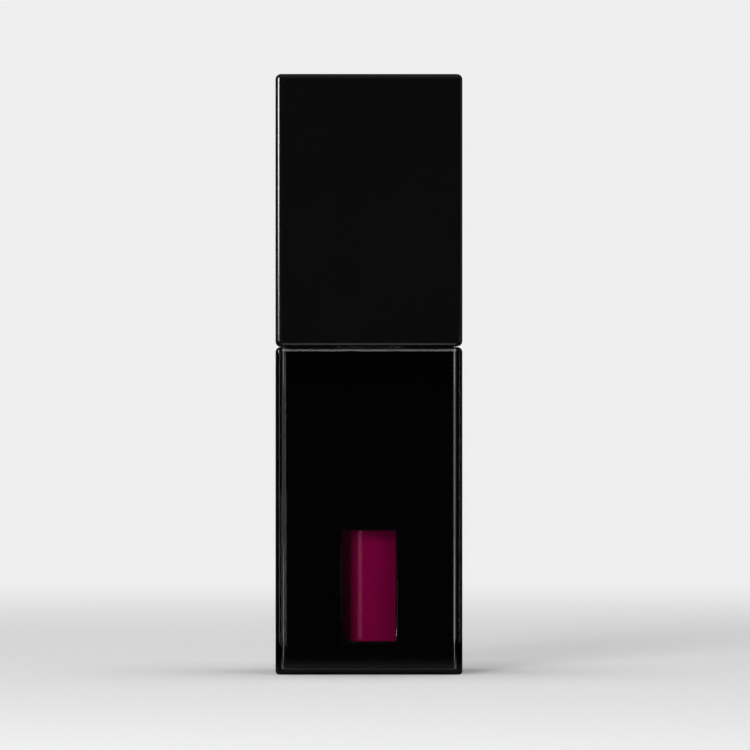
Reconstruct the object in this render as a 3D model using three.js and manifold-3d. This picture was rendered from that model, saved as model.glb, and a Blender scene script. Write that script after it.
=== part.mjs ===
// Liquid lipstick case: a square clear walled bottle with a black inner sleeve and a magenta fill,
// under a square cap that carries the applicator wand. Millimetres, +Z up, the window faces -Y.
import * as THREE from 'three';
import { mergeVertices } from 'three/addons/utils/BufferGeometryUtils.js';
import Module from 'manifold-3d';

const wasm = await Module();
wasm.setup();

// Overall case
const caseWidth = 22;
const bodyHeight = 38.56;
const seamGap = 0.06;
const capHeight = 32.08;
const sideEdgeRadius = 0.8;

// Clearances
const fixedFit = 0.05;
const runningFit = 0.15;
const overrun = 1;

// Outer shell
const shellWall = 0.7;
const shellFloor = 0.6;
const baseEdgeRadius = 0.4;
const rimEdgeRadius = 0.6;
const seatRingWall = 0.8;
const seatRingHeight = 1.2;

// Mask sleeve
const sleeveWall = 0.8;
const sleeveEdgeRadius = 0.6;
const sleeveEndRadius = 0.6;
const sleeveInnerRadius = 0.3;
const windowWidth = 6.3;
const windowHeight = 13;
const windowSill = 3.95;

// Shoulder collar
const collarThickness = 1.6;
const skirtWall = 0.8;
const skirtDrop = 1.9;

// Vial
const vialRadius = 6;
const vialWall = 1;
const vialFloorThickness = 1;
const vialFootRadius = 0.6;
const vialShoulderHeight = 1.4;
const flangeOverhang = 0.7;
const flangeThickness = 1.5;
const neckRadius = 5;
const neckWall = 1.2;
const neckRise = 9.8;
const threadStart = 3;
const threadLead = 3;
const threadTurns = 1.25;
const threadRidgeRadius = 0.6;

// Product
const fillHeight = 27.5;
const wellClearance = 0.3;

// Wiper
const wiperFlangeThickness = 0.6;
const wiperFlangeInset = 0.2;
const wiperWall = 0.6;
const wiperLength = 11;
const wiperConeHeight = 2.4;

// Cap shell
const capWall = 1.2;
const capTopWall = 1.5;
const capTopEdgeRadius = 0.65;
const capRimEdgeRadius = 0.65;
const capCavityEdgeRadius = 0.5;

// Inner cap
const plateRecess = 0.5;
const plateThickness = 1.2;
const linerWall = 0.85;
const ceilingThickness = 1.2;
const socketWall = 1.1;
const ribThickness = 1;
const ribHeight = 15;

// Gasket
const gasketThickness = 0.8;

// Applicator
const stemRadius = 1.9;
const plugRadius = 2.5;
const plugLength = 6;
const tipRadius = 2.05;
const tipLength = 8.8;
const tipStandoff = 1.2;
const tipHeelShares = [[0, 0], [0.6, 0.03], [0.9, 0.13], [1, 0.32], [1, 0.76], [0.94, 1]];
const tipSlant = THREE.MathUtils.degToRad(17);
const tipSlantStartShare = 0.72;
const spigotRadius = 1.2;
const spigotLength = 3.5;

// Facets
const quarterTurn = Math.PI / 2;
const fullTurn = Math.PI * 2;
const roundSides = 32;
const stemSides = 20;
const edgeSteps = 2;
const easeSteps = 3;
const easeLimitShare = 0.9;
const ridgeStepsPerTurn = 24;
const ridgeSectionSteps = 3;

// Heights and widths that follow from the sizes above
const cavityWidth = caseWidth - 2 * shellWall;
const sleeveWidth = cavityWidth - 2 * fixedFit;
const sleeveInside = sleeveWidth - 2 * sleeveWall;
const collarWidth = sleeveInside - 2 * fixedFit;
const vialBore = vialRadius - vialWall;
const fillBottom = shellFloor + vialFloorThickness;
const flangeRadius = vialRadius + flangeOverhang;
const flangeTop = bodyHeight - collarThickness;
const flangeBottom = flangeTop - flangeThickness;
const neckTop = bodyHeight + neckRise;
const neckBore = neckRadius - neckWall;
const wiperTop = neckTop + wiperFlangeThickness;
const wiperOrifice = tipRadius + runningFit;
const capBottom = bodyHeight + seamGap;
const capTop = capBottom + capHeight;
const capCavityWidth = caseWidth - 2 * capWall;
const plateBottom = capBottom + plateRecess;
const plateTop = plateBottom + plateThickness;
const linerBore = neckRadius + 2 * threadRidgeRadius + runningFit;
const linerRadius = linerBore + linerWall;
const gasketBottom = wiperTop + fixedFit;
const gasketTop = gasketBottom + gasketThickness;
const linerCeiling = gasketTop + fixedFit;
const socketBore = plugRadius + fixedFit;
const socketRadius = socketBore + socketWall;
const plugTop = linerCeiling + plugLength;
const tipBottom = fillBottom + tipStandoff;
const tipTop = tipBottom + tipLength;
const stemBottom = tipTop + fixedFit;

// A closed mesh as a solid: shared corners are merged and faces without area are left out
function toSolid(geometry) {
  const bare = geometry.clone();
  bare.deleteAttribute('normal');
  bare.deleteAttribute('uv');
  const welded = mergeVertices(bare);
  const corners = welded.index.array;
  const faces = [];
  for (let i = 0; i < corners.length; i += 3) {
    const [a, b, c] = [corners[i], corners[i + 1], corners[i + 2]];
    if (a !== b && b !== c && c !== a) faces.push(a, b, c);
  }
  const vertProperties = new Float32Array(welded.attributes.position.array);
  return new wasm.Manifold(new wasm.Mesh({ numProp: 3, vertProperties, triVerts: new Uint32Array(faces) }));
}

// A solid as a geometry to draw
function toGeometry(solid) {
  const mesh = solid.getMesh();
  const geometry = new THREE.BufferGeometry();
  geometry.setAttribute('position', new THREE.BufferAttribute(mesh.vertProperties, mesh.numProp));
  geometry.setIndex(new THREE.BufferAttribute(mesh.triVerts, 1));
  geometry.computeVertexNormals();
  return geometry;
}

// A square outline with round corners, about the axis
function roundedSquare(width, edgeRadius) {
  const reach = width / 2 - edgeRadius;
  const corners = [[reach, reach], [-reach, reach], [-reach, -reach], [reach, -reach]];
  const shape = new THREE.Shape();
  corners.forEach(([x, y], turn) => {
    shape.absarc(x, y, edgeRadius, turn * quarterTurn, (turn + 1) * quarterTurn, false);
  });
  return shape;
}

// A square bar between two heights
function prism(width, edgeRadius, bottom, top) {
  const settings = { depth: top - bottom, bevelEnabled: false, curveSegments: edgeSteps };
  return toSolid(new THREE.ExtrudeGeometry(roundedSquare(width, edgeRadius), settings).translate(0, 0, bottom));
}

// A square bar whose two ends are rounded alike
function easedPrism(width, edgeRadius, bottom, top, endRadius) {
  const ease = Math.min(endRadius, edgeRadius * easeLimitShare);
  const settings = {
    depth: top - bottom - 2 * ease,
    bevelThickness: ease,
    bevelSize: ease,
    bevelOffset: -ease,
    bevelSegments: easeSteps,
    curveSegments: edgeSteps,
  };
  const geometry = new THREE.ExtrudeGeometry(roundedSquare(width, edgeRadius), settings);
  return toSolid(geometry.translate(0, 0, bottom + ease));
}

// A square bar with its own rounding at each end
function easedBlock(width, edgeRadius, bottom, top, bottomRadius, topRadius) {
  const upright = easedPrism(width, edgeRadius, bottom, top + bottomRadius + overrun, bottomRadius);
  const hanging = easedPrism(width, edgeRadius, bottom - topRadius - overrun, top, topRadius);
  return upright.intersect(hanging);
}

// A round solid from an outline of radius and height
function turned(outline, sides = roundSides) {
  const profile = outline.map(([radius, height]) => new THREE.Vector2(radius, height));
  return toSolid(new THREE.LatheGeometry(profile, sides).rotateX(quarterTurn));
}

// A plain cylinder about the axis
function cylinder(radius, bottom, top, sides = roundSides) {
  return turned([[0, bottom], [radius, bottom], [radius, top], [0, top]], sides);
}

// A ring about the axis
function ring(bore, radius, bottom, top, sides = roundSides) {
  return turned([[bore, bottom], [radius, bottom], [radius, top], [bore, top], [bore, bottom]], sides);
}

// A box between two corners
function box(low, high) {
  const size = high.map((value, axis) => value - low[axis]);
  const centre = high.map((value, axis) => (value + low[axis]) / 2);
  return toSolid(new THREE.BoxGeometry(...size).translate(...centre));
}

// A right handed screw line about the axis
class ScrewLine extends THREE.Curve {
  constructor(radius, lead, turns, bottom) {
    super();
    Object.assign(this, { radius, lead, turns, bottom });
  }

  getPoint(share, target = new THREE.Vector3()) {
    const angle = share * this.turns * fullTurn;
    const height = this.bottom + share * this.turns * this.lead;
    return target.set(this.radius * Math.cos(angle), this.radius * Math.sin(angle), height);
  }
}

// A round ridge along a screw line, half of which sinks into the wall that carries it
function threadRidge(wallRadius, bottom) {
  const section = new THREE.Shape();
  section.absarc(0, 0, threadRidgeRadius, 0, fullTurn, false);
  const settings = {
    steps: Math.round(threadTurns * ridgeStepsPerTurn),
    curveSegments: ridgeSectionSteps,
    bevelEnabled: false,
    extrudePath: new ScrewLine(wallRadius, threadLead, threadTurns, bottom),
  };
  return toSolid(new THREE.ExtrudeGeometry(section, settings));
}

// Clear square cup, with a low ring on its floor that centres the vial
function outerShell() {
  const block = easedBlock(caseWidth, sideEdgeRadius, 0, bodyHeight, baseEdgeRadius, rimEdgeRadius);
  const cavity = prism(cavityWidth, sleeveEdgeRadius + fixedFit, shellFloor, bodyHeight + overrun);
  const seatBore = vialRadius + fixedFit;
  const seatRing = ring(seatBore, seatBore + seatRingWall, shellFloor / 2, shellFloor + seatRingHeight);
  return block.subtract(cavity).add(seatRing);
}

// Black square tube with rounded edges and the window cut in its front wall
function maskSleeve() {
  const wall = easedBlock(sleeveWidth, sleeveEdgeRadius, shellFloor, bodyHeight, sleeveEndRadius, sleeveEndRadius);
  const hollow = prism(sleeveInside, sleeveInnerRadius, shellFloor - overrun, bodyHeight + overrun);
  const front = -sleeveWidth / 2;
  const window = box(
    [-windowWidth / 2, front - overrun, windowSill],
    [windowWidth / 2, front + sleeveWall + overrun, windowSill + windowHeight],
  );
  return wall.subtract(hollow).subtract(window);
}

// Black plate round the neck, with a skirt that centres the vial's flange
function shoulderCollar() {
  const plate = prism(collarWidth, sleeveInnerRadius, flangeTop, bodyHeight);
  const skirtBore = flangeRadius + fixedFit;
  const skirt = cylinder(skirtBore + skirtWall, flangeTop - skirtDrop, bodyHeight);
  const flangeSpace = cylinder(skirtBore, flangeTop - skirtDrop - overrun, flangeTop);
  const neckHole = cylinder(neckRadius + fixedFit, flangeTop - overrun, bodyHeight + overrun);
  return plate.add(skirt).subtract(flangeSpace).subtract(neckHole);
}

// Clear round vial with a flange and a threaded neck
function vial() {
  const foot = Math.min(vialFootRadius, vialWall, vialFloorThickness);
  const footMiddle = foot * (1 - Math.SQRT1_2);
  const wall = turned([
    [0, shellFloor],
    [vialRadius - foot, shellFloor],
    [vialRadius - footMiddle, shellFloor + footMiddle],
    [vialRadius, shellFloor + foot],
    [vialRadius, flangeBottom],
    [flangeRadius, flangeBottom],
    [flangeRadius, flangeTop],
    [neckRadius, flangeTop],
    [neckRadius, neckTop],
    [0, neckTop],
  ]);
  const hollow = turned([
    [0, fillBottom],
    [vialBore, fillBottom],
    [vialBore, flangeBottom - vialShoulderHeight],
    [neckBore, flangeBottom],
    [neckBore, neckTop + overrun],
    [0, neckTop + overrun],
  ]);
  return wall.add(threadRidge(neckRadius, bodyHeight + threadStart)).subtract(hollow);
}

// Magenta fill, with the well that the wand stands in
function product() {
  const fill = cylinder(vialBore - fixedFit, fillBottom, fillBottom + fillHeight);
  const well = cylinder(tipRadius + wellClearance, tipBottom - wellClearance, fillBottom + fillHeight + overrun);
  return fill.subtract(well);
}

// Soft insert in the neck: a flange on the rim, a tube and a cone down to the orifice
function wiper() {
  const tubeRadius = neckBore - fixedFit;
  const tubeBore = tubeRadius - wiperWall;
  const coneTop = neckTop - wiperLength + wiperConeHeight;
  return turned([
    [wiperOrifice, coneTop - wiperConeHeight],
    [wiperOrifice + wiperWall, coneTop - wiperConeHeight],
    [tubeRadius, coneTop],
    [tubeRadius, neckTop],
    [neckRadius - wiperFlangeInset, neckTop],
    [neckRadius - wiperFlangeInset, wiperTop],
    [tubeBore, wiperTop],
    [tubeBore, coneTop],
    [wiperOrifice, coneTop - wiperConeHeight],
  ]);
}

// Satin black square cap, open below
function capShell() {
  const block = easedBlock(caseWidth, sideEdgeRadius, capBottom, capTop, capRimEdgeRadius, capTopEdgeRadius);
  const hollow = prism(capCavityWidth, capCavityEdgeRadius, capBottom - overrun, capTop - capTopWall);
  return block.subtract(hollow);
}

// Liner of the cap: closing plate, threaded tube, ribs and the wand's socket
function innerCap() {
  const insideWidth = capCavityWidth - 2 * fixedFit;
  const tubeTop = linerCeiling + ceilingThickness;
  const plate = prism(insideWidth, capCavityEdgeRadius, plateBottom, plateTop);
  const tube = cylinder(linerRadius, plateBottom, tubeTop);
  const socket = cylinder(socketRadius, linerCeiling, plugTop + ceilingThickness);
  const [reach, half] = [insideWidth / 2, ribThickness / 2];
  const ribTop = plateBottom + ribHeight;
  const ribAlongX = box([-reach, -half, plateBottom], [reach, half, ribTop]);
  const ribAlongY = box([-half, -reach, plateBottom], [half, reach, ribTop]);
  const neckSpace = cylinder(linerBore, plateBottom - overrun, linerCeiling);
  const plugSpace = cylinder(socketBore, linerCeiling - overrun, plugTop + fixedFit, stemSides);
  const body = plate.add(tube).add(socket).add(ribAlongX).add(ribAlongY);
  const ridge = threadRidge(linerBore, bodyHeight + threadStart);
  return body.subtract(neckSpace).subtract(plugSpace).add(ridge);
}

// Sealing ring round the wand, under the liner's ceiling
function capGasket() {
  return ring(plugRadius + fixedFit, neckRadius - wiperFlangeInset, gasketBottom, gasketTop);
}

// Rod of the wand, with its plug above and the bore for the tip below
function applicatorStem() {
  const rod = turned([
    [0, stemBottom],
    [stemRadius, stemBottom],
    [stemRadius, gasketBottom],
    [plugRadius, gasketBottom],
    [plugRadius, plugTop],
    [0, plugTop],
  ], stemSides);
  const bore = cylinder(spigotRadius + fixedFit, stemBottom - overrun, tipTop + spigotLength + fixedFit, stemSides);
  return rod.subtract(bore);
}

// Flocked tip: a rounded bud cut to a slanting face, on a round spigot
function applicatorTip() {
  const bud = tipHeelShares.map(([across, up]) => [tipRadius * across, tipBottom + tipLength * up]);
  const top = tipTop + spigotLength;
  const whole = turned([...bud, [spigotRadius, tipTop], [spigotRadius, top], [0, top]], stemSides);
  const slab = new THREE.BoxGeometry(2 * tipLength, tipLength, 2 * tipLength).translate(0, -tipLength / 2, -tipLength);
  slab.rotateX(tipSlant).translate(0, -tipRadius, tipBottom + tipLength * tipSlantStartShare);
  return whole.subtract(toSolid(slab));
}

// Colour, roughness and metalness of each material
const smokedClear = { color: 0x1a1a1c, roughness: 0.08, metalness: 0, transparent: true, opacity: 0.35 };
const glossBlack = { color: 0x050505, roughness: 0.12, metalness: 0 };
const satinBlack = { color: 0x0b0b0b, roughness: 0.4, metalness: 0 };
const innerBlack = { color: 0x101010, roughness: 0.45, metalness: 0 };
const clear = { color: 0xf2f2f4, roughness: 0.05, metalness: 0, transparent: true, opacity: 0.25 };
const magenta = { color: 0x8a0a46, roughness: 0.3, metalness: 0 };
const naturalSoft = { color: 0xe6e4de, roughness: 0.5, metalness: 0 };
const flock = { color: 0x9c2a60, roughness: 0.95, metalness: 0 };

const pieces = [
  ['outer_shell', outerShell, smokedClear],
  ['mask_sleeve', maskSleeve, glossBlack],
  ['shoulder_collar', shoulderCollar, innerBlack],
  ['vial', vial, clear],
  ['product', product, magenta],
  ['wiper', wiper, naturalSoft],
  ['cap_shell', capShell, satinBlack],
  ['inner_cap', innerCap, innerBlack],
  ['cap_gasket', capGasket, naturalSoft],
  ['applicator_stem', applicatorStem, innerBlack],
  ['applicator_tip', applicatorTip, flock],
];

const lipstickCase = new THREE.Group();
for (const [name, make, finish] of pieces) {
  const mesh = new THREE.Mesh(toGeometry(make()), new THREE.MeshStandardMaterial(finish));
  mesh.name = name;
  lipstickCase.add(mesh);
}

export default lipstickCase;
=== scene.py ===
"""Looks of the liquid lipstick case: a clear walled bottle with a black sleeve, and a satin black cap."""

import math

import bmesh
import bpy
import numpy as np
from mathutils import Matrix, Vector


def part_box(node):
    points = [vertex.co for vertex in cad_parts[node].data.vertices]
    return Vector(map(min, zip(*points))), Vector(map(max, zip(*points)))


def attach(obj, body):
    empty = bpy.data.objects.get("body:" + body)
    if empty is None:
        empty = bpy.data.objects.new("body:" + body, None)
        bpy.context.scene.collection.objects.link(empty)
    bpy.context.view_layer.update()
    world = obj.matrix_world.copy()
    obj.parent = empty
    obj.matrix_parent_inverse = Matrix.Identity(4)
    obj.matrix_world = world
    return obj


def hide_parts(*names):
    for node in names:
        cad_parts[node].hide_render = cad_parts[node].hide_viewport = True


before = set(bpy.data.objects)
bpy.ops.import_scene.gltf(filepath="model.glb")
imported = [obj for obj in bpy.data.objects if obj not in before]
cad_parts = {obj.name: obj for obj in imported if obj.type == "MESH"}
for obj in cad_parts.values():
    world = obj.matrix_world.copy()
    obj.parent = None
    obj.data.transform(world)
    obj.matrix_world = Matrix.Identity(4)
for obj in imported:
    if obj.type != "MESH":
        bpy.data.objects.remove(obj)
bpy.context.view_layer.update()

MM = 0.001
QUARTER = math.pi / 2
AROUND = 96
ARC_STEPS = 7
ARC_LEAD = 0.03
CORNER_STEPS = 10
LEAST_CORNER = 0.02
SIDE_STOPS = np.array([0.003, 0.2, 0.4, 0.6, 0.8, 0.997])

SHELL_HALF = 11.0
SHELL_CORNER = 0.8
SHELL_WALL = 0.7
SHELL_FLOOR = 0.6
SHELL_INNER_CORNER = 0.65
SHELL_BASE_EDGE = 0.4
SHELL_RIM_EDGE = 0.6
SEAT_OUTER = 6.9
SEAT_INNER = 6.06
SEAT_RISE = 1.2
SLEEVE_HALF = 10.25
SLEEVE_WALL = 0.8
SLEEVE_CORNER = 0.6
SLEEVE_INNER_CORNER = 0.3
SLEEVE_END_EDGE = 0.54
WINDOW_HALF = 3.15
WINDOW_LOW = 3.95
WINDOW_HIGH = 16.95
WINDOW_CHAMFER = 0.2
CAP_CORNER = 0.8
CAP_WALL = 1.2
CAP_TOP_WALL = 1.5
CAP_TOP_EDGE = 0.65
CAP_RIM_EDGE = 0.65
CAP_CAVITY_CORNER = 0.5
VIAL_RADIUS = 6.0
VIAL_WALL = 1.0
VIAL_FLANGE = 6.7
VIAL_FLANGE_THICKNESS = 1.5
NECK_RADIUS = 5.0
NECK_BORE = 3.8
THREAD_LEAD = 3.0
THREAD_TURNS = 1.25
THREAD_HEIGHT = 0.58
THREAD_HALF_WIDTH = 0.75
THREAD_START = 4.6
THREAD_STEP = 0.12
FILL_RADIUS = 5.02
FILL_RIM = 0.3
FILL_RIM_WIDTH = 0.6
WELL_RADIUS = 2.35
WELL_FLOOR = 0.9
COLLAR_HALF = 9.4
COLLAR_CORNER = 0.3
COLLAR_THICKNESS = 1.6
SKIRT_OUTER = 7.55
SKIRT_INNER = 6.75
SKIRT_DROP = 1.9
NECK_HOLE = 5.05
WIPER_FLANGE = 4.8
WIPER_FLANGE_THICKNESS = 0.6
WIPER_TUBE = 3.75
WIPER_BORE = 3.15
WIPER_CONE = 2.4
WIPER_ORIFICE = 2.2
WIPER_LIP = 2.8
STEM_RADIUS = 1.9
STEM_BORE = 1.25
PLUG_RADIUS = 2.5
PLUG_BORE = 2.55
TIP_RADIUS = 1.8
TIP_LENGTH = 8.8
SPIGOT_RADIUS = 1.2
SPIGOT_LENGTH = 3.5
SLANT = math.tan(math.radians(17))
SLANT_START = 0.72
FIBRES = 5200
FIBRE_LENGTH = 0.22
FIBRE_HALF_WIDTH = 0.022


def level(node, end):
    """Height of a CAD node's lowest (0) or highest (1) point, in millimetres."""
    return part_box(node)[end].z / MM


def eased(points):
    """Profile whose corners are arcs.

    A point is (across, up, ease, kind). An arc of radius ease touches both legs at
    ease * tan(turn / 2) from the corner. Its points are its centre plus ease times
    (sin((1 - s) turn) * first normal + sin(s turn) * last normal) / sin(turn), with s from 0 to 1.
    One more point lies a lead before and after each arc, so that the flats shade flat.
    Returns the arrays across, up and kind.
    """
    place = np.array([point[:2] for point in points], float)
    rows = [place[:1]]
    kinds = [np.full(1, points[0][3])]
    for index in range(1, len(points) - 1):
        ease, kind = points[index][2:]
        corner = place[index]
        if ease == 0:
            rows.append(corner[None])
            kinds.append(np.full(1, kind))
            continue
        to_corner = corner - place[index - 1]
        from_corner = place[index + 1] - corner
        leg_in = np.linalg.norm(to_corner)
        leg_out = np.linalg.norm(from_corner)
        to_corner = to_corner / leg_in
        from_corner = from_corner / leg_out
        turn = math.acos(np.clip(to_corner @ from_corner, -1, 1))
        reach = ease * math.tan(turn / 2)
        first = corner - to_corner * reach
        last = corner + from_corner * reach
        inward = from_corner - to_corner
        centre = corner + inward / np.linalg.norm(inward) * (ease / math.cos(turn / 2))
        share = np.linspace(0, 1, ARC_STEPS + 1)[:, None]
        arc = centre + (
            np.sin((1 - share) * turn) * (first - centre)
            + np.sin(share * turn) * (last - centre)
        ) / math.sin(turn)
        before = first - to_corner * min(ARC_LEAD, leg_in / 8)
        after = last + from_corner * min(ARC_LEAD, leg_out / 8)
        rows.append(np.vstack([before, arc, after]))
        kinds.append(np.full(len(rows[-1]), kind))
    rows.append(place[-1:])
    kinds.append(np.full(1, points[-1][3]))
    both = np.vstack(rows)
    return both[:, 0], both[:, 1], np.concatenate(kinds)


def square_rings(half, corner, up, front=None):
    """Stack of upright square rings with round corners, one row for each height.

    A corner point is ((half - corner) * sign + corner * cos a, (half - corner) * sign + corner * sin a,
    up), with a over a quarter turn. A side point lies at a fixed share of the way to the next corner.
    front, where given, holds the across places of the side that faces -Y.
    """
    columns = []
    signs = ((1, 1), (-1, 1), (-1, -1), (1, -1))
    for quarter, (sign_x, sign_y) in enumerate(signs):
        angle = quarter * QUARTER + np.linspace(0, QUARTER, CORNER_STEPS + 1)
        reach = (half - corner)[:, None]
        arc_x = reach * sign_x + corner[:, None] * np.cos(angle)
        arc_y = reach * sign_y + corner[:, None] * np.sin(angle)
        columns.append(np.stack([arc_x, arc_y], -1))
        next_x, next_y = signs[(quarter + 1) % 4]
        start = columns[-1][:, -1:]
        turned_out = np.array([math.cos(angle[-1]), math.sin(angle[-1])])
        end = np.stack([reach * next_x, reach * next_y], -1) + corner[:, None, None] * turned_out
        side = start + (end - start) * SIDE_STOPS[None, :, None]
        if quarter == 2 and front is not None:
            side = np.stack([front, np.broadcast_to(-half[:, None], front.shape)], -1)
        columns.append(side)
    flat = np.concatenate(columns, 1)
    rise = np.broadcast_to(up[:, None, None], flat.shape[:2] + (1,))
    return np.concatenate([flat, rise], -1)


def round_rings(radius, up, around=AROUND):
    """Stack of round rings: (radius * cos a, radius * sin a, up), with a over a full turn."""
    angle = np.linspace(0, 2 * math.pi, around, endpoint=False)
    radius = np.broadcast_to(np.asarray(radius, float).reshape(len(up), -1), (len(up), around))
    rise = np.broadcast_to(np.asarray(up, float).reshape(len(up), -1), (len(up), around))
    return np.stack([radius * np.cos(angle), radius * np.sin(angle), rise], -1)


def grid_quads(rows, columns, closed_rows=False):
    """Four-sided faces of a grid whose columns close on themselves, and whose rows may."""
    down = np.arange(rows if closed_rows else rows - 1)[:, None]
    across = np.arange(columns)[None, :]
    below = down * columns
    above = (down + 1) % rows * columns
    right = (across + 1) % columns
    quads = np.stack([below + across, below + right, above + right, above + across], -1)
    return quads


def build(name, points, quads, turn_out=False, triangles=()):
    """Mesh piece from points in millimetres and faces, with doubled points merged."""
    mesh = bpy.data.meshes.new(name)
    faces = quads.reshape(-1, 4).tolist() + np.reshape(triangles, (-1, 3)).astype(int).tolist()
    mesh.from_pydata((points.reshape(-1, 3) * MM).tolist(), [], faces)
    work = bmesh.new()
    work.from_mesh(mesh)
    bmesh.ops.remove_doubles(work, verts=work.verts, dist=2e-7)
    bmesh.ops.dissolve_degenerate(work, edges=work.edges, dist=1e-7)
    if turn_out:
        bmesh.ops.recalc_face_normals(work, faces=work.faces)
    work.to_mesh(mesh)
    work.free()
    mesh.shade_smooth()
    piece = bpy.data.objects.new(name, mesh)
    bpy.context.scene.collection.objects.link(piece)
    return piece


def turned(name, points, around=AROUND, closed=False):
    """Round piece: an eased profile of (radius, up, ease) carried round the upright axis."""
    radius, up, _ = eased([point + (0,) for point in points])
    if closed:
        radius = radius[:-1]
        up = up[:-1]
    rings = round_rings(radius, up, around)
    return build(name, rings, grid_quads(len(up), around, closed))


def squared(name, points, kinds):
    """Square piece: an eased profile of (half, up, ease, kind) carried round a square with round corners.

    A kind is (half, corner). The ring's corner is the kind's less the way that the ring lies inside
    its half, so the walls keep their thickness round the corner. A kind of None is a circle.
    """
    half, up, kind = eased(points)
    corner = np.zeros_like(half)
    for index, rule in enumerate(kinds):
        chosen = kind == index
        if rule is None:
            corner[chosen] = half[chosen]
        else:
            corner[chosen] = rule[1] - (rule[0] - half[chosen])
    corner = np.clip(corner, np.minimum(half, LEAST_CORNER), half)
    rings = square_rings(half, corner, up)
    return build(name, rings, grid_quads(len(up), rings.shape[1]))


class Wire:
    """An output of a shader node that takes part in sums, by adding Math nodes."""

    def __init__(self, finish, socket):
        self.finish = finish
        self.socket = socket

    def other(self, name):
        """Another output of the same node."""
        return Wire(self.finish, self.socket.node.outputs[name])

    def sum_of(self, operation, first, second):
        return self.finish.node("ShaderNodeMath", {"operation": operation}, {0: first, 1: second})

    def __add__(self, value):
        return self.sum_of("ADD", self, value)

    def __radd__(self, value):
        return self.sum_of("ADD", value, self)

    def __sub__(self, value):
        return self.sum_of("SUBTRACT", self, value)

    def __rsub__(self, value):
        return self.sum_of("SUBTRACT", value, self)

    def __mul__(self, value):
        return self.sum_of("MULTIPLY", self, value)

    def __gt__(self, value):
        return self.sum_of("GREATER_THAN", self, value)


class Finish:
    """A node tree that is filled in by node()."""

    def __init__(self, holder, output):
        holder.use_nodes = True
        self.holder = holder
        self.tree = holder.node_tree
        self.tree.nodes.clear()
        self.output = self.tree.nodes.new(output)

    def node(self, kind, settings=None, values=None):
        """Adds a node, sets its settings, then its inputs from numbers, colours or wires."""
        made = self.tree.nodes.new(kind)
        for name, value in (settings or {}).items():
            if name == "stops":
                ramp = made.color_ramp.elements
                for index, (place, shade) in enumerate(value):
                    stop = ramp[index] if index < len(ramp) else ramp.new(place)
                    stop.position = place
                    stop.color = (*shade, 1)
            else:
                setattr(made, name, value)
        for name, value in (values or {}).items():
            self.feed(made.inputs[name], value)
        outputs = [socket for socket in made.outputs if socket.enabled]
        return Wire(self, outputs[0])

    def feed(self, socket, value):
        """A wire is linked to the socket, and anything else is its value."""
        if isinstance(value, Wire):
            self.tree.links.new(value.socket, socket)
        elif socket.type == "RGBA" and len(value) == 3:
            socket.default_value = (*value, 1)
        else:
            socket.default_value = value

    def end(self, **wires):
        """Links the output's Surface, and its Volume where one is named."""
        for name, wire in wires.items():
            self.feed(self.output.inputs[name], wire)
        return self.holder

    def place(self):
        """Where a point lies on the piece, in metres."""
        return self.node("ShaderNodeTexCoord").other("Object")

    def noise(self, size, detail=2.0, stretch=(1, 1, 1)):
        """Soft noise whose patches are about size millimetres across."""
        spread = self.node(
            "ShaderNodeMapping",
            None,
            {"Vector": self.place(), "Scale": tuple(1 / (size * MM * s) for s in stretch)},
        )
        return self.node("ShaderNodeTexNoise", None, {"Vector": spread, "Scale": 1.0, "Detail": detail})

    def blend(self, share, first, second):
        """Colour that goes from first to second as share goes from 0 to 1."""
        mix = self.tree.nodes.new("ShaderNodeMix")
        mix.data_type = "RGBA"
        self.feed(mix.inputs[0], share)
        self.feed(mix.inputs[6], first)
        self.feed(mix.inputs[7], second)
        return Wire(self, mix.outputs[2])

    def soft_ramp(self, value, start, end, low, high):
        """Goes softly from low to high as value goes from start to end, and stays there."""
        return self.node(
            "ShaderNodeMapRange",
            {"interpolation_type": "SMOOTHSTEP"},
            {"Value": value, "From Min": start, "From Max": end, "To Min": low, "To Max": high},
        )

    def relief(self, height, depth, strength=1.0):
        """Normal of a relief whose height of 1 stands depth millimetres high."""
        values = {"Height": height, "Distance": depth * MM, "Strength": strength}
        return self.node("ShaderNodeBump", None, values)

    def coat(self, **values):
        """The main shader, with its sockets named in words."""
        return self.node(
            "ShaderNodeBsdfPrincipled",
            None,
            {name.replace("_", " "): value for name, value in values.items()},
        )

    def let_light_in(self, shader):
        """The shader, except that lamps and soft light go straight through it, as through thin plastic."""
        path = self.node("ShaderNodeLightPath")
        light = path.other("Is Shadow Ray") + path.other("Is Diffuse Ray")
        straight = self.node("ShaderNodeBsdfTransparent")
        return self.node("ShaderNodeMixShader", None, {0: light, 1: shader, 2: straight})


def material(name):
    return Finish(bpy.data.materials.new(name), "ShaderNodeOutputMaterial")


def satin_black():
    """Moulded satin: fine spark grain, and a sheen that varies a little over the face."""
    finish = material("satin_black")
    grain = finish.noise(0.09, 3.0)
    drift = finish.noise(7.0, 2.0)
    colour = finish.blend(drift, (0.0018, 0.0018, 0.0019), (0.0026, 0.0025, 0.0025))
    shader = finish.coat(
        Base_Color=colour,
        Roughness=0.09 + drift * 0.04 + grain * 0.03,
        IOR=1.49,
        Normal=finish.relief(grain, 0.004, 0.5),
    )
    return finish.end(Surface=shader)


def gloss_black():
    """Gloss moulding with the faint waviness of a thin wall."""
    finish = material("gloss_black")
    flow = finish.noise(5.0, 1.0, (1, 1, 2.4))
    dust = finish.noise(0.25, 2.0)
    colour = finish.blend(flow, (0.0003, 0.0003, 0.0003), (0.0007, 0.0006, 0.0007))
    shader = finish.coat(
        Base_Color=colour,
        Roughness=0.05 + flow * 0.02 + dust * 0.02,
        IOR=1.5,
        Normal=finish.relief(flow, 0.003, 0.4),
    )
    return finish.end(Surface=shader)


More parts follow.
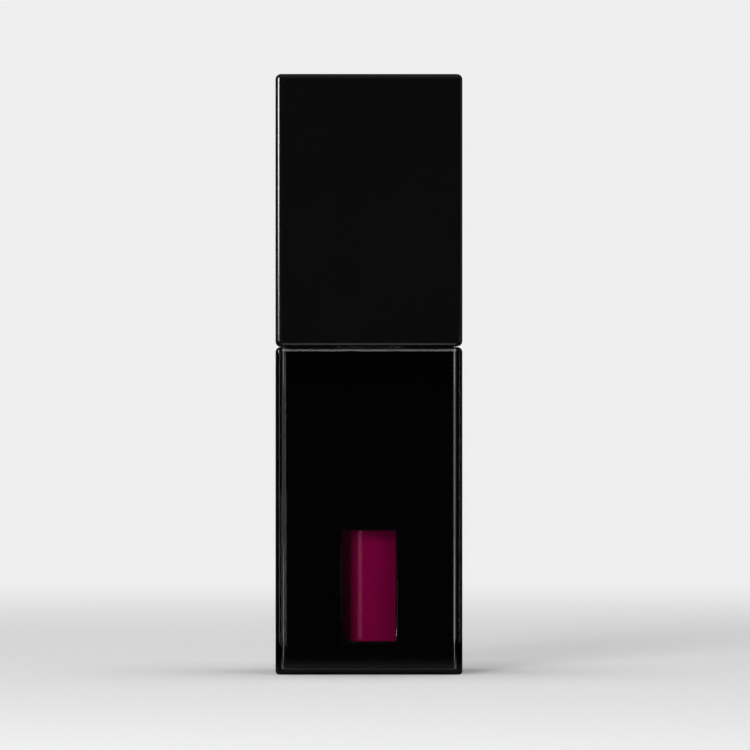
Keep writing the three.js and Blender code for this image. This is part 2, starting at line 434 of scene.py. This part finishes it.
def smoked_clear():
    """Polished clear wall, lightly smoked, so that it darkens with depth."""
    finish = material("smoked_clear")
    flow = finish.noise(9.0, 1.0)
    shader = finish.coat(
        Base_Color=(1, 1, 1),
        Roughness=0.01 + flow * 0.015,
        IOR=1.49,
        Transmission_Weight=1.0,
    )
    depth = finish.node(
        "ShaderNodeVolumeAbsorption", None, {"Color": (0.0, 0.0, 0.02), "Density": 200.0}
    )
    return finish.end(Surface=finish.let_light_in(shader), Volume=depth)


def clear_wall():
    """Clear moulding of the vial."""
    finish = material("clear_wall")
    flow = finish.noise(6.0, 1.0)
    shader = finish.coat(
        Base_Color=(1, 1, 1),
        Roughness=0.02 + flow * 0.03,
        IOR=1.5,
        Transmission_Weight=1.0,
    )
    return finish.end(Surface=finish.let_light_in(shader))


def magenta_fill():
    """Wet magenta with a little pearl in it, and slow swirls from filling."""
    finish = material("magenta_fill")
    swirl = finish.noise(3.0, 3.0, (1, 1, 3))
    pearl = finish.noise(0.12, 2.0)
    colour = finish.blend(swirl, (0.235, 0.0006, 0.052), (0.28, 0.0012, 0.066))
    shader = finish.coat(
        Base_Color=colour,
        Metallic=0.34 + pearl * 0.1,
        Roughness=0.12 + pearl * 0.06,
        IOR=1.4,
        Specular_IOR_Level=0.0,
        Normal=finish.relief(swirl, 0.02, 0.3),
    )
    return finish.end(Surface=shader)


def inner_black():
    """Plain black moulding of the hidden pieces, with a fine grain."""
    finish = material("inner_black")
    grain = finish.noise(0.14, 3.0)
    drift = finish.noise(4.0)
    colour = finish.blend(drift, (0.0045, 0.0045, 0.0048), (0.0065, 0.0064, 0.0064))
    shader = finish.coat(
        Base_Color=colour,
        Roughness=0.34 + grain * 0.12,
        IOR=1.49,
        Normal=finish.relief(grain, 0.006, 0.5),
    )
    return finish.end(Surface=shader)


WET_FULL = 29
WET_END = 34
WET_RAGGED = 6


def rod_black():
    """Black rod, smoother than the hidden pieces, with a thin film of the fill on its wetted end."""
    finish = material("rod_black")
    grain = finish.noise(0.14, 3.0)
    streak = finish.noise(1.2, 3.0, (1, 1, 6))
    height = finish.node("ShaderNodeSeparateXYZ", None, {"Vector": finish.place()}).other("Z")
    wet = finish.soft_ramp(height + streak * (WET_RAGGED * MM), WET_FULL * MM, WET_END * MM, 0.75, 0.0)
    colour = finish.blend(wet * (0.4 + streak), (0.0052, 0.0051, 0.0053), (0.12, 0.001, 0.034))
    shader = finish.coat(
        Base_Color=colour,
        Roughness=0.26 + grain * 0.1 - wet * 0.14,
        IOR=1.49,
        Normal=finish.relief(grain, 0.004, 0.4),
    )
    return finish.end(Surface=shader)


def milky_soft():
    """Milky soft moulding of the wiper."""
    finish = material("milky_soft")
    grain = finish.noise(0.3, 2.0)
    colour = finish.blend(grain, (0.74, 0.73, 0.70), (0.80, 0.79, 0.76))
    shader = finish.coat(
        Base_Color=colour,
        Roughness=0.36 + grain * 0.1,
        IOR=1.5,
        Subsurface_Weight=0.35,
        Subsurface_Radius=(1.0, 0.9, 0.8),
        Subsurface_Scale=0.0008,
    )
    return finish.end(Surface=shader)


def gasket_foam():
    """White foam sheet with fine open pores, painted darker where the cell relief is low, as shade in the
    pores.
    """
    finish = material("gasket_foam")
    cells = finish.node(
        "ShaderNodeTexVoronoi", None, {"Vector": finish.place(), "Scale": 1 / (0.16 * MM)}
    )
    # painted shade: darker away from the cell centres, where the relief is low
    colour = finish.blend(cells, (0.80, 0.79, 0.77), (0.62, 0.61, 0.59))
    shader = finish.coat(
        Base_Color=colour,
        Roughness=0.78,
        IOR=1.45,
        Normal=finish.relief(1 - cells, 0.05, 0.6),
    )
    return finish.end(Surface=shader)


def stained_flock():
    """Nylon flock stained by the fill, with painted shade: darker where the tufted relief is low, paler
    where it is high, and a soft sheen.
    """
    finish = material("stained_flock")
    tuft = finish.noise(0.22, 4.0)
    # painted shade: the stained colour follows the tuft relief, darker in its low parts
    colour = finish.blend(tuft, (0.20, 0.004, 0.060), (0.42, 0.030, 0.160))
    shader = finish.coat(
        Base_Color=colour,
        Roughness=0.7 + tuft * 0.2,
        IOR=1.45,
        Sheen_Weight=0.5,
        Sheen_Roughness=0.4,
        Normal=finish.relief(tuft, 0.08, 0.8),
    )
    return finish.end(Surface=shader)


PALE = (0.86, 0.86, 0.865)
FLOOR_AROUND = 64
FLOOR_DROP = 0.01
PAINTED_RING_GLOW = 0.17
MIRRORED_FAR_FLOOR = 0.006


def pale_floor():
    """Pale floor that keeps the shadow near the case and runs into the pale surroundings further out.

    What a straight look, a look through clear plastic and a mirror image see of it is added by ray kind.
    Mirror images see a painted glowing ring round the case with a painted contact shadow inside it,
    and a look through clear plastic sees painted shade near the case.
    """
    finish = material("pale_floor")
    path = finish.node("ShaderNodeLightPath")
    out = finish.node("ShaderNodeVectorMath", {"operation": "LENGTH"}, {0: finish.place()}).other("Value")
    near = finish.soft_ramp(out, 0.05, 0.45, 1.0, 0.0)
    # painted contact shadow: mirror images see the floor darker within about 20 mm of the case's centre
    painted_contact_shadow = finish.soft_ramp(out, 0.012, 0.02, 0.3, 1.0)
    # painted reflection: a glow in a ring out to about 120 mm, for the lower faces to mirror
    ring_end = finish.soft_ramp(out, 0.012, 0.12, 1.0, 0.0)
    # painted shade: through clear plastic the floor stays dark within about 30 mm of the case and turns
    # pale by 80 mm
    past_painted_shade = finish.soft_ramp(out, 0.03, 0.08, 0.0, 1.0)
    far = finish.soft_ramp(out, 0.4, 0.9, 0.0, 0.9)
    speck = finish.noise(2.0, 3.0)
    colour = finish.blend(speck, (0.80, 0.80, 0.805), (0.83, 0.83, 0.835))
    lit = finish.node("ShaderNodeBsdfDiffuse", None, {"Color": colour})
    looks = path.other("Is Camera Ray") + path.other("Is Glossy Ray") + path.other("Is Transmission Ray")
    seen = looks > 0.5
    mirrored = path.other("Glossy Depth") > 0.5
    through = path.other("Is Transmission Ray") * (1 - mirrored) * past_painted_shade * (1 - far)
    fade = ring_end * ring_end
    # mirror images see the painted ring glow with its painted contact shadow, over a dim even floor
    in_gloss = seen * mirrored * (painted_contact_shadow * fade * fade * PAINTED_RING_GLOW + MIRRORED_FAR_FLOOR)
    glow = finish.node(
        "ShaderNodeEmission",
        None,
        {"Color": PALE, "Strength": path.other("Is Camera Ray") + through + in_gloss},
    )
    keep = near * path.other("Is Camera Ray") + (1 - seen)
    mixed = finish.node("ShaderNodeMixShader", None, {0: keep, 1: glow, 2: lit})
    return finish.end(Surface=mixed)


def surroundings():
    """Pale all round to the eye and through clear plastic, and mostly dark to mirror images in front."""
    world = bpy.data.worlds.new("pale_surroundings")
    bpy.context.scene.world = world
    finish = Finish(world, "ShaderNodeOutputWorld")
    path = finish.node("ShaderNodeLightPath")
    where = finish.node(
        "ShaderNodeSeparateXYZ", None, {"Vector": finish.node("ShaderNodeTexCoord").other("Generated")}
    )
    behind = finish.soft_ramp(where.other("Y"), 0.55, 0.9, 0.0, 0.015)
    above = finish.soft_ramp(where.other("Z"), 0.3, 0.9, 0.002, 0.25)
    mirrored = path.other("Glossy Depth") > 0.5
    through = path.other("Is Transmission Ray") * (1 - mirrored)
    pale = path.other("Is Camera Ray") + through
    soft = path.other("Is Diffuse Ray") * 0.08
    rest = (1 - path.other("Is Diffuse Ray")) * (1 - pale) * (behind + above)
    light = finish.node("ShaderNodeBackground", None, {"Color": PALE, "Strength": pale + soft + rest})
    return finish.end(Surface=light)


ENERGY_FOR_RADIANCE = 4


def soft_box(name, size, radiance, place, turn, diffuse=True, mirrored=True, through=True):
    """Rectangular soft box, size metres across and up, that the eye doesn't see.

    diffuse, mirrored and through say whether it lights plain surfaces, shows in mirror images and
    shows through clear plastic.
    """
    data = bpy.data.lights.new(name, "AREA")
    data.shape = "RECTANGLE"
    data.size = size[0]
    data.size_y = size[1]
    data.energy = radiance * ENERGY_FOR_RADIANCE * size[0] * size[1]
    box = bpy.data.objects.new(name, data)
    box.location = place
    box.rotation_euler = turn
    box.visible_camera = False
    box.visible_diffuse = diffuse
    box.visible_glossy = mirrored
    box.visible_transmission = through
    bpy.context.scene.collection.objects.link(box)
    return data


def lamp(name, azimuth, distance, low, high, width, radiance, diffuse=False, mirrored=True):
    """Upright soft box that faces the case: azimuth in degrees from the front, sizes in metres."""
    turn = math.radians(azimuth)
    place = (math.sin(turn) * distance, -math.cos(turn) * distance, (low + high) / 2)
    soft_box(name, (width, high - low), radiance, place, (QUARTER, 0, turn), diffuse, mirrored, mirrored)


def near_lamp(name, place, aim, size, radiance, spread):
    """Small strip close to the case that shines from place to aim, and only into mirror images.

    The cone of spread degrees keeps it out of the mirror images in the flat faces.
    """
    turn = (Vector(aim) - Vector(place)).to_track_quat("-Z", "Y").to_euler()
    data = soft_box(name, size, radiance, place, turn, diffuse=False, through=False)
    data.spread = math.radians(spread)


def outer_wall():
    """Clear square cup: base, wall, rim, inner wall, floor and the low ring that the vial stands in."""
    rim = level("outer_shell", 1)
    inner_half = SHELL_HALF - SHELL_WALL
    seat_top = SHELL_FLOOR + SEAT_RISE
    points = [
        (0.0, 0.0, 0, 0),
        (SHELL_HALF, 0.0, SHELL_BASE_EDGE, 0),
        (SHELL_HALF, rim, SHELL_RIM_EDGE, 0),
        (inner_half, rim, 0.08, 1),
        (inner_half, SHELL_FLOOR, 0.15, 1),
        (SEAT_OUTER, SHELL_FLOOR, 0.1, 2),
        (SEAT_OUTER, seat_top, 0.15, 2),
        (SEAT_INNER, seat_top, 0.15, 2),
        (SEAT_INNER, SHELL_FLOOR, 0.1, 2),
        (0.0, SHELL_FLOOR, 0, 2),
    ]
    kinds = ((SHELL_HALF, SHELL_CORNER), (inner_half, SHELL_INNER_CORNER), None)
    return squared("clear_outer_wall", points, kinds)


def black_sleeve():
    """Black square tube with a window in its front.

    The skin is an eased ring profile carried round the square. The window's frame is a stack of
    rectangles: the skin's opening, the chamfer's inner edge, the reveal, and the opening of the
    inner skin, each point at the same share of its rectangle's side.
    """
    low = level("mask_sleeve", 0)
    high = level("mask_sleeve", 1)
    inner_half = SLEEVE_HALF - SLEEVE_WALL
    middle = (low + high) / 2
    points = [
        (SLEEVE_HALF, middle, 0, 0),
        (SLEEVE_HALF, high, SLEEVE_END_EDGE, 0),
        (inner_half, high, 0.1, 1),
        (inner_half, low, 0.1, 1),
        (SLEEVE_HALF, low, SLEEVE_END_EDGE, 0),
        (SLEEVE_HALF, middle, 0, 0),
    ]
    half, up, kind = eased(points)
    half, up, kind = half[:-1], up[:-1], kind[:-1]
    opening = np.array([-1.0, -0.5, 0.0, 0.5, 1.0])
    centre = (WINDOW_LOW + WINDOW_HIGH) / 2
    tall = (WINDOW_HIGH - WINDOW_LOW) / 2
    guard = 0.04
    wide_out = WINDOW_HALF + WINDOW_CHAMFER
    tall_out = tall + WINDOW_CHAMFER
    outer_rows = np.concatenate([[-1 - guard / tall_out], opening, [1 + guard / tall_out]])
    outer_rows = centre + tall_out * outer_rows
    inner_rows = np.concatenate([[1 + guard / tall], opening[::-1], [-1 - guard / tall]])
    inner_rows = centre + tall * inner_rows
    inner_at = np.flatnonzero((kind == 1) & (up < middle))[0]
    inner_all = (np.full(len(inner_rows), inner_half), inner_rows, np.ones(len(inner_rows), int))
    outer_all = (np.full(len(outer_rows), SLEEVE_HALF), outer_rows, np.zeros(len(outer_rows), int))
    half = np.concatenate([half[:inner_at], inner_all[0], half[inner_at:], outer_all[0]])
    up = np.concatenate([up[:inner_at], inner_all[1], up[inner_at:], outer_all[1]])
    kind = np.concatenate([kind[:inner_at], inner_all[2], kind[inner_at:], outer_all[2]])
    rows = len(up)
    outer_first = rows - len(outer_rows) + 1
    inner_first = inner_at + 1
    outer_corner = SLEEVE_CORNER - (SLEEVE_HALF - half)
    inner_corner = SLEEVE_INNER_CORNER - (inner_half - half)
    corner = np.clip(np.where(kind == 0, outer_corner, inner_corner), LEAST_CORNER, None)
    across = np.concatenate([[-1 - guard / wide_out], opening, [1 + guard / wide_out]])
    wide = np.where(kind == 0, wide_out, WINDOW_HALF)[:, None]
    edge = (half - corner)[:, None]
    front = np.concatenate([-0.99 * edge, wide * across[None, :], 0.99 * edge], 1)
    rings = square_rings(half, corner, up, front)
    columns = rings.shape[1]
    quads = grid_quads(rows, columns, True)
    left = 3 * (CORNER_STEPS + 1) + 2 * len(SIDE_STOPS) + 2
    spans = len(opening) - 1
    keep = np.ones((rows, columns), bool)
    keep[outer_first : outer_first + spans, left : left + spans] = False
    keep[inner_first : inner_first + spans, left : left + spans] = False

    side = opening[:-1]
    loop_x = np.concatenate([side, np.ones(spans), -side, -np.ones(spans)])
    loop_z = np.concatenate([-np.ones(spans), side, np.ones(spans), -side])
    frames = np.array(
        [
            (wide_out, tall_out, -SLEEVE_HALF),
            (WINDOW_HALF, tall, -SLEEVE_HALF + WINDOW_CHAMFER),
            (WINDOW_HALF, tall, -SLEEVE_HALF + WINDOW_CHAMFER + guard),
            (WINDOW_HALF, tall, -inner_half),
        ]
    )
    reveal = np.stack(
        [
            frames[:, :1] * loop_x,
            np.broadcast_to(frames[:, 2:], (len(frames), len(loop_x))),
            centre + frames[:, 1:2] * loop_z,
        ],
        -1,
    )
    reveal_quads = grid_quads(len(frames), len(loop_x)) + rows * columns
    points = np.concatenate([rings.reshape(-1, 3), reveal.reshape(-1, 3)])
    faces = np.concatenate([quads[keep], reveal_quads.reshape(-1, 4)])
    used, faces = np.unique(faces, return_inverse=True)
    return build("black_sleeve", points[used], faces, turn_out=True)


def thread_relief(angle, up, start):
    """How far a thread stands out: height * (1 - d^2)^0.75, where d is the upright distance to the
    line start + lead * turns, over the half width, eased in and out over a twelfth of a turn."""
    total = np.zeros_like(angle * up)
    for lap in (0, 1):
        turns = angle / (2 * math.pi) + lap
        away = (up - start - THREAD_LEAD * turns) / THREAD_HALF_WIDTH
        ridge = np.clip(1 - away**2, 0, 1) ** 0.75
        ends = np.clip(np.minimum(turns, THREAD_TURNS - turns) * 12, 0, 1)
        total = np.maximum(total, THREAD_HEIGHT * ridge * ends)
    return total


def clear_vial():
    """Clear vial: foot, body, shoulder, flange, and a neck whose radius carries the thread."""
    foot = level("vial", 0)
    top = level("vial", 1)
    flange_top = level("shoulder_collar", 1) - COLLAR_THICKNESS
    flange_low = flange_top - VIAL_FLANGE_THICKNESS
    bore = VIAL_RADIUS - VIAL_WALL
    below = [
        (0.0, foot, 0),
        (VIAL_RADIUS, foot, 0.6),
        (VIAL_RADIUS, flange_low, 0.1),
        (VIAL_FLANGE, flange_low, 0.1),
        (VIAL_FLANGE, flange_top, 0.15),
        (NECK_RADIUS, flange_top, 0.15),
    ]
    above = [
        (NECK_RADIUS, top, 0.3),
        (NECK_BORE, top, 0.2),
        (NECK_BORE, flange_low - 0.2, 0.5),
        (bore, flange_low - 2.2, 0.5),
        (bore, foot + VIAL_WALL, 0.5),
        (0.0, foot + VIAL_WALL, 0),
    ]
    radius, up, _ = eased([point + (0,) for point in below + above])
    neck_from = flange_top + 0.3
    neck_to = top - 0.5
    split = np.flatnonzero(up > neck_from)[0]
    fine = np.arange(neck_from, neck_to, THREAD_STEP)
    radius = np.concatenate([radius[:split], np.full(len(fine), NECK_RADIUS), radius[split:]])
    up = np.concatenate([up[:split], fine, up[split:]])
    around = 144
    thread_start = flange_top + THREAD_START
    angle = np.linspace(0, 2 * math.pi, around, endpoint=False)[None, :]
    out = (radius > NECK_RADIUS - 0.01) & (up > neck_from - 0.01) & (up < neck_to)
    relief = thread_relief(angle, up[:, None], thread_start) * out[:, None]
    rings = round_rings(radius[:, None] + relief, up, around)
    return build("clear_vial", rings, grid_quads(len(up), around))


def magenta_liquid():
    """The fill: it follows the vial's bore, climbs a little at the wall, and leaves the wand's well."""
    low = level("product", 0)
    high = level("product", 1)
    points = [
        (0.0, low, 0),
        (FILL_RADIUS, low, 0.5),
        (FILL_RADIUS, high, 0.12),
        (FILL_RADIUS - FILL_RIM_WIDTH, high - FILL_RIM, 0.3),
        (WELL_RADIUS, high - FILL_RIM, 0.15),
        (WELL_RADIUS, low + WELL_FLOOR, 0.4),
        (0.0, low + WELL_FLOOR, 0),
    ]
    return turned("magenta_liquid", points)


def satin_cap():
    """Satin square cap: ceiling, cavity wall, rim, outer wall and top."""
    low = level("cap_shell", 0)
    high = level("cap_shell", 1)
    cavity = SHELL_HALF - CAP_WALL
    points = [
        (0.0, high - CAP_TOP_WALL, 0, 1),
        (cavity, high - CAP_TOP_WALL, 0.3, 1),
        (cavity, low, 0.15, 1),
        (SHELL_HALF, low, CAP_RIM_EDGE, 0),
        (SHELL_HALF, high, CAP_TOP_EDGE, 0),
        (0.0, high, 0, 0),
    ]
    kinds = ((SHELL_HALF, CAP_CORNER), (cavity, CAP_CAVITY_CORNER))
    return squared("satin_cap", points, kinds)


def shoulder_plate():
    """Black plate round the neck: square outside, round hole, and the round skirt that holds the vial."""
    top = level("shoulder_collar", 1)
    flange_top = top - COLLAR_THICKNESS
    skirt_low = flange_top - SKIRT_DROP
    points = [
        (SKIRT_INNER, top, 0, 1),
        (COLLAR_HALF, top, 0.2, 0),
        (COLLAR_HALF, flange_top, 0.2, 0),
        (SKIRT_OUTER, flange_top, 0.1, 1),
        (SKIRT_OUTER, skirt_low, 0.15, 1),
        (SKIRT_INNER, skirt_low, 0.15, 1),
        (SKIRT_INNER, flange_top, 0.05, 1),
        (NECK_HOLE, flange_top, 0.1, 1),
        (NECK_HOLE, top, 0.15, 1),
        (SKIRT_INNER, top, 0, 1),
    ]
    points = [(across, up, ease, kind) for across, up, ease, kind in reversed(points)]
    return squared("shoulder_plate", points, ((COLLAR_HALF, COLLAR_CORNER), None))


def neck_wiper():
    """Soft wiper: flange on the neck's rim, tube, cone, and a thin lip round the orifice."""
    top = level("wiper", 1)
    seat = top - WIPER_FLANGE_THICKNESS
    lip = level("wiper", 0)
    cone_top = lip + WIPER_CONE
    middle = (seat + cone_top) / 2
    points = [
        (WIPER_TUBE, middle, 0),
        (WIPER_TUBE, seat, 0.05),
        (WIPER_FLANGE, seat, 0.12),
        (WIPER_FLANGE, top, 0.2),
        (WIPER_BORE, top, 0.25),
        (WIPER_BORE, cone_top, 0.5),
        (WIPER_ORIFICE, lip, 0.08),
        (WIPER_LIP, lip, 0.15),
        (WIPER_TUBE, cone_top, 0.5),
        (WIPER_TUBE, middle, 0),
    ]
    return turned("neck_wiper", points, closed=True)


def sealing_ring():
    """Flat foam ring whose edges are a little pressed in."""
    low = level("cap_gasket", 0)
    high = level("cap_gasket", 1)
    middle = (low + high) / 2
    points = [
        (WIPER_FLANGE, middle, 0),
        (WIPER_FLANGE, high, 0.18),
        (PLUG_BORE, high, 0.12),
        (PLUG_BORE, low, 0.12),
        (WIPER_FLANGE, low, 0.18),
        (WIPER_FLANGE, middle, 0),
    ]
    return turned("sealing_ring", points, closed=True)


def wand_rod():
    """Rod of the wand: bore for the tip's spigot, eased lower end, shaft, and the plug above."""
    low = level("applicator_stem", 0)
    high = level("applicator_stem", 1)
    shoulder = level("cap_gasket", 0)
    bore_top = level("applicator_tip", 1) + 0.05
    points = [
        (0.0, bore_top, 0),
        (STEM_BORE, bore_top, 0.1),
        (STEM_BORE, low, 0.08),
        (STEM_RADIUS, low, 0.3),
        (STEM_RADIUS, shoulder, 0.15),
        (PLUG_RADIUS, shoulder, 0.12),
        (PLUG_RADIUS, high, 0.3),
        (0.0, high, 0),
    ]
    return turned("wand_rod", points, 64)


def flocked_tip():
    """Doe foot tip with its flock.

    The core is a bud of rings whose radius follows (1 - (1 - s)^2)^(1/2) near the heel, with s the
    height's share. Where the slanting face cuts it, y is the soft larger one of y and the face:
    (y + f + ((y - f)^2 + 0.04)^(1/2)) / 2. A fibre is a thin three-sided cone that stands on the
    core along its normal, leaned down and a little at random.
    """
    low = level("applicator_tip", 0) + FIBRE_LENGTH
    bud_top = level("applicator_tip", 1) - SPIGOT_LENGTH
    around = 72
    rise = np.concatenate([np.linspace(0, 1, 40) ** 1.8 * 0.5, np.linspace(0.5, 1, 30)[1:]])
    heel = np.clip(rise / 0.3, 0, 1)
    radius = TIP_RADIUS * np.sqrt(1 - (1 - heel) ** 2) * (1 - 0.05 * np.clip((rise - 0.8) / 0.2, 0, 1) ** 2)
    up = low + (bud_top - low) * rise
    rings = round_rings(radius, up, around)
    start = bud_top - TIP_LENGTH * (1 - SLANT_START)
    face = -TIP_RADIUS + np.clip(start - rings[..., 2], 0, None) * SLANT
    cut = (rings[..., 1] + face + np.sqrt((rings[..., 1] - face) ** 2 + 0.04)) / 2
    share = np.clip((start - rings[..., 2]) / 0.8, 0, 1)
    rings[..., 1] += (cut - rings[..., 1]) * share * np.clip(radius / 0.6, 0, 1)[:, None]
    spigot_top = bud_top + SPIGOT_LENGTH
    spigot_radius = np.array([SPIGOT_RADIUS, SPIGOT_RADIUS, 0.0])
    spigot_up = np.array([bud_top + 0.02, spigot_top, spigot_top])
    body = np.concatenate([rings, round_rings(spigot_radius, spigot_up, around)])
    quads = grid_quads(len(body), around)

    chance = np.random.default_rng(5)
    step = np.linalg.norm(rings[1:] - rings[:-1], axis=-1)
    span = np.linalg.norm(np.roll(rings, -1, 1) - rings, axis=-1)
    area = (step * (span[1:] + span[:-1]) / 2).ravel()
    cell = chance.choice(area.size, FIBRES, p=area / area.sum())
    row, column = np.divmod(cell, around)
    aside, ahead = chance.random((2, FIBRES, 1))
    right = (column + 1) % around
    near = rings[row, column] * (1 - aside) + rings[row, right] * aside
    far = rings[row + 1, column] * (1 - aside) + rings[row + 1, right] * aside
    root = near * (1 - ahead) + far * ahead
    across = rings[row, right] - rings[row, column] + rings[row + 1, right] - rings[row + 1, column]
    out = np.cross(across, far - near)
    out /= np.linalg.norm(out, axis=1, keepdims=True) + 1e-9
    lean = out + chance.normal(0, 0.22, (FIBRES, 3)) + np.array([0, 0, -0.25])
    lean /= np.linalg.norm(lean, axis=1, keepdims=True)
    side = np.cross(lean, np.array([0.37, 0.21, 0.9]))
    side /= np.linalg.norm(side, axis=1, keepdims=True)
    other = np.cross(lean, side)
    root = root - lean * 0.03
    tall = FIBRE_LENGTH * chance.uniform(0.75, 1.0, (FIBRES, 1))
    corners = []
    for turn in (0.0, 2 * math.pi / 3, 4 * math.pi / 3):
        corners.append(root + FIBRE_HALF_WIDTH * (math.cos(turn) * side + math.sin(turn) * other))
    apex = root + lean * tall
    fibres = np.stack(corners + [apex], 1).reshape(-1, 3)
    first = len(body) * around + 4 * np.arange(FIBRES)[:, None]
    cones = np.concatenate([first + (0, 1, 3), first + (1, 2, 3), first + (2, 0, 3), first + (0, 2, 1)])
    points = np.concatenate([body.reshape(-1, 3), fibres])
    return build("flocked_tip", points, quads, triangles=cones)


def dress(piece, finish, slot, body, *nodes):
    """Gives a piece its material, sets it on its body, and hides the nodes it stands for. The slot is not
    used.
    """
    piece.data.materials.clear()
    piece.data.materials.append(finish)
    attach(piece, body)
    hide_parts(*nodes)


def dress_node(name, finish):
    """Gives a CAD node its finish."""
    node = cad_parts[name]
    node.data.materials.clear()
    node.data.materials.append(finish)


smoked = smoked_clear()
gloss = gloss_black()
satin = satin_black()
black = inner_black()
clear = clear_wall()
magenta = magenta_fill()
milky = milky_soft()
foam = gasket_foam()
flock = stained_flock()
rod = rod_black()

dress(outer_wall(), smoked, "smoked_clear", "bottle", "outer_shell")
dress(black_sleeve(), gloss, "gloss_black", "bottle", "mask_sleeve")
dress(clear_vial(), clear, "clear", "bottle", "vial")
dress(magenta_liquid(), magenta, "magenta", "bottle", "product")
dress(satin_cap(), satin, "satin_black", "cap", "cap_shell")
dress(shoulder_plate(), black, "inner_black", "bottle", "shoulder_collar")
dress(neck_wiper(), milky, "natural_soft", "bottle", "wiper")
dress(sealing_ring(), foam, "gasket", "wand", "cap_gasket")
dress(wand_rod(), rod, "inner_black", "wand", "applicator_stem")
dress(flocked_tip(), flock, "flock", "cap", "applicator_tip")
dress_node("inner_cap", black)

floor_radii = np.array([0.0, 0.06, 0.2, 0.5, 2.0, 8.0, 30.0]) / MM
floor_rings = round_rings(floor_radii, np.full(len(floor_radii), -FLOOR_DROP), FLOOR_AROUND)
floor = build("floor", floor_rings, grid_quads(len(floor_radii), FLOOR_AROUND)[:, :, ::-1])
floor.data.materials.append(pale_floor())
surroundings()

FRONT = -0.011
SEAM = 0.0386
lamp("key_soft", -17.0, 0.7, 0.0, 0.24, 0.17, 32.0, diffuse=True, mirrored=False)
soft_box("overhead_soft", (0.8, 0.8), 2.9, (0, 0, 1.0), (0, 0, 0), mirrored=False, through=False)
near_lamp("bottle_rim_line", (0, -0.0303, 0.056), (0, FRONT, SEAM), (0.03, 0.024), 0.26, 62.0)
near_lamp("cap_rim_line", (0, -0.034, 0.0005), (0, -0.034, SEAM), (0.03, 0.03), 0.31, 88.0)
lamp("vial_stripe", -19.5, 0.115, 0.0, 0.02, 0.022, 0.4)
lamp("left_strip_high", -66.0, 0.6, 0.055, 0.4, 0.22, 18.0)
lamp("left_strip_low", -50.0, 0.13, 0.0, 0.047, 0.05, 0.62)
lamp("left_back_low", -105.0, 0.13, 0.0, 0.047, 0.08, 0.06)
lamp("right_strip_low", 68.0, 0.13, 0.0, 0.039, 0.06, 0.45)
lamp("right_back_low", 118.0, 0.13, 0.0, 0.039, 0.06, 0.1)
lamp("right_back_high", 100.0, 0.6, 0.04, 0.35, 0.16, 0.45)

TOTAL_MM = 70.7
MIDDLE_X = 368.05
MIDDLE_Y = 374.3
OBJECT_PIXELS = 601.1
IMAGE = 750
DISTANCE = 1.0
SIDE_STEP = -0.6
SENSOR = 36.0
camera_data = bpy.data.cameras.new("camera")
camera = bpy.data.objects.new("camera", camera_data)
bpy.context.scene.collection.objects.link(camera)
bpy.context.scene.camera = camera
seen_width = IMAGE * TOTAL_MM * MM / OBJECT_PIXELS
camera_data.sensor_width = SENSOR
camera_data.lens = SENSOR * (DISTANCE - SHELL_HALF * MM) / seen_width
camera_data.shift_x = (IMAGE / 2 - MIDDLE_X) / IMAGE
camera_data.shift_y = (MIDDLE_Y - IMAGE / 2) / IMAGE
camera_data.clip_start = 0.05
camera_data.clip_end = 100.0
step = math.radians(SIDE_STEP)
camera.location = (math.sin(step) * DISTANCE, -math.cos(step) * DISTANCE, TOTAL_MM * MM / 2)
camera.rotation_euler = (QUARTER, 0, step)
bpy.context.scene.view_settings.view_transform = "Standard"
